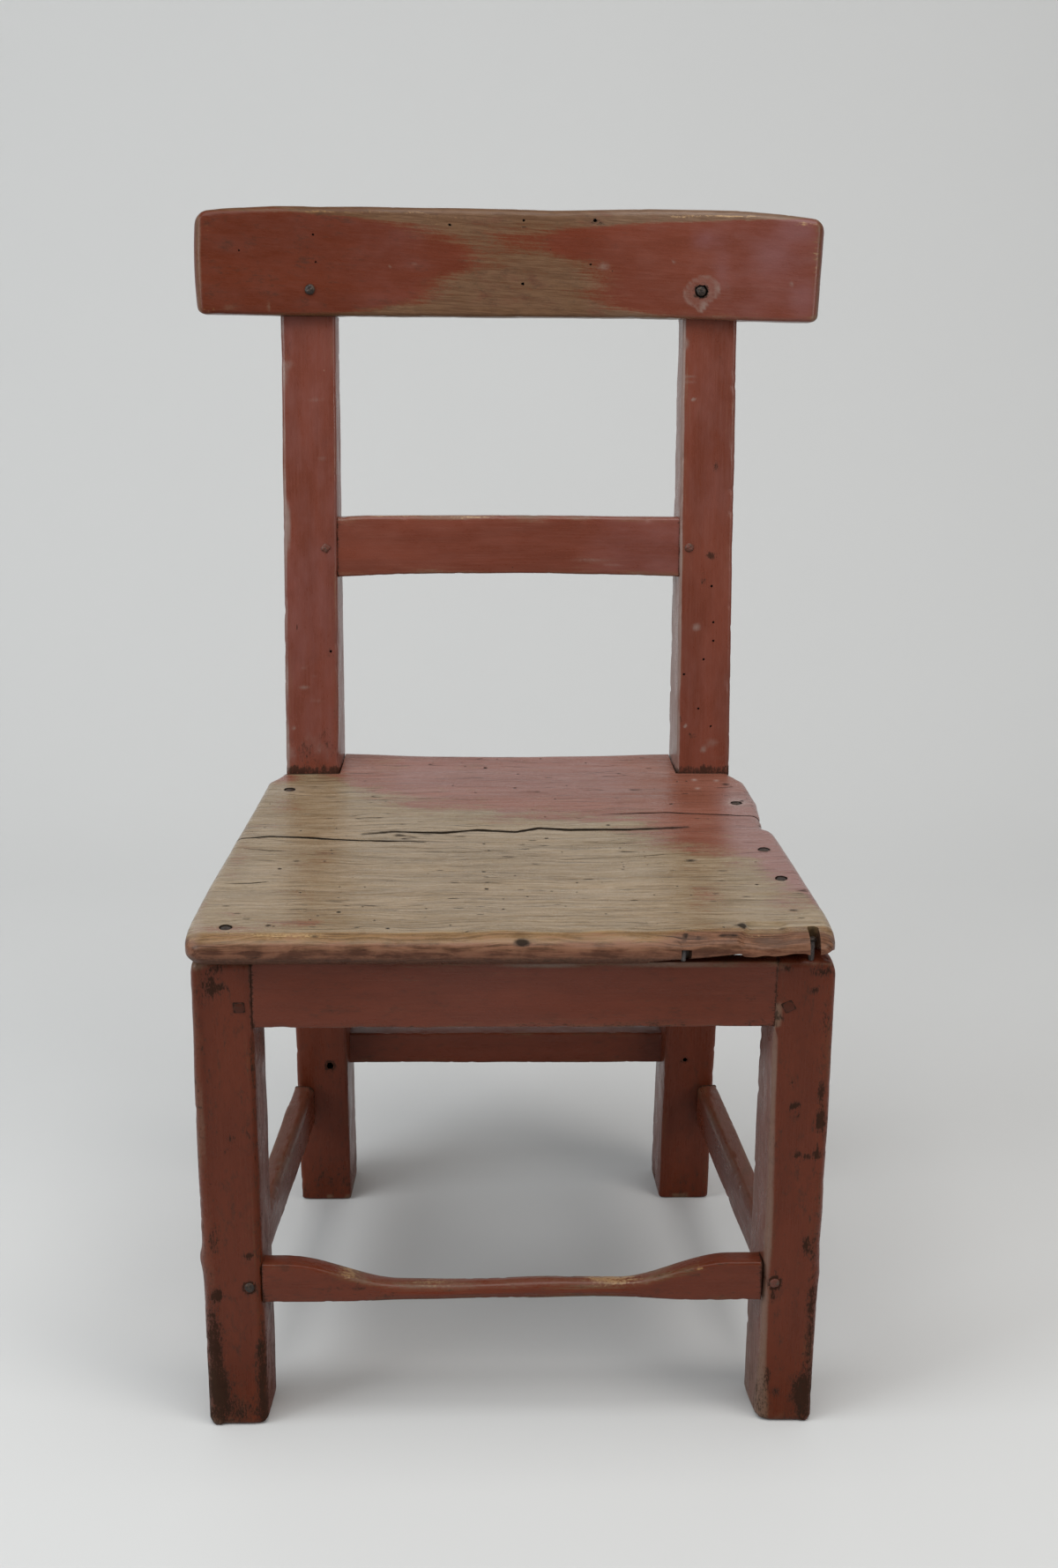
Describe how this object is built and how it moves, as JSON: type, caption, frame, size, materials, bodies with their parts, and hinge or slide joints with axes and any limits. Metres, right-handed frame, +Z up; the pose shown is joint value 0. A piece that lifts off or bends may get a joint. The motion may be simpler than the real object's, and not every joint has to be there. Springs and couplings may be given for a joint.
{
  "type": "framed wooden side chair",
  "caption": "Low-backed painted wooden side chair: notched plank seat on a pegged frame, raked posts with a mid rail and a wide curved crest rail, joined by stretchers.",
  "frame": {"origin": "on the floor, at the middle of the overall width and depth", "axes": "+X to the right seen from the front, +Y towards the back, +Z up; the front faces -Y"},
  "size_m": [0.528, 0.474, 0.9021],
  "materials": {
    "painted_wood": "worn satin red ochre oil paint on hardwood",
    "seat_wood": "bare worn hardwood with traces of red paint",
    "peg_wood": "painted oak pegs",
    "iron": "dark rusted wrought iron"
  },
  "bodies": {
    "root": {"seat_board": "seat_wood", "front_leg_left": "painted_wood", "front_leg_right": "painted_wood", "back_post_left": "painted_wood", "back_post_right": "painted_wood", "front_seat_rail": "painted_wood", "rear_seat_rail": "painted_wood", "side_seat_rail_left": "painted_wood", "side_seat_rail_right": "painted_wood", "front_stretcher": "painted_wood", "rear_stretcher": "painted_wood", "side_stretcher_left": "painted_wood", "side_stretcher_right": "painted_wood", "mid_rail": "painted_wood", "crest_rail": "painted_wood", "front_rail_pegs": "peg_wood", "side_rail_pegs": "peg_wood", "rear_rail_pegs": "peg_wood", "rear_stretcher_pegs": "peg_wood", "crest_nails": "iron", "mid_rail_nails": "iron", "front_stretcher_nails": "iron", "side_stretcher_nails": "iron", "seat_nails": "iron"}
  },
  "joints": []
}
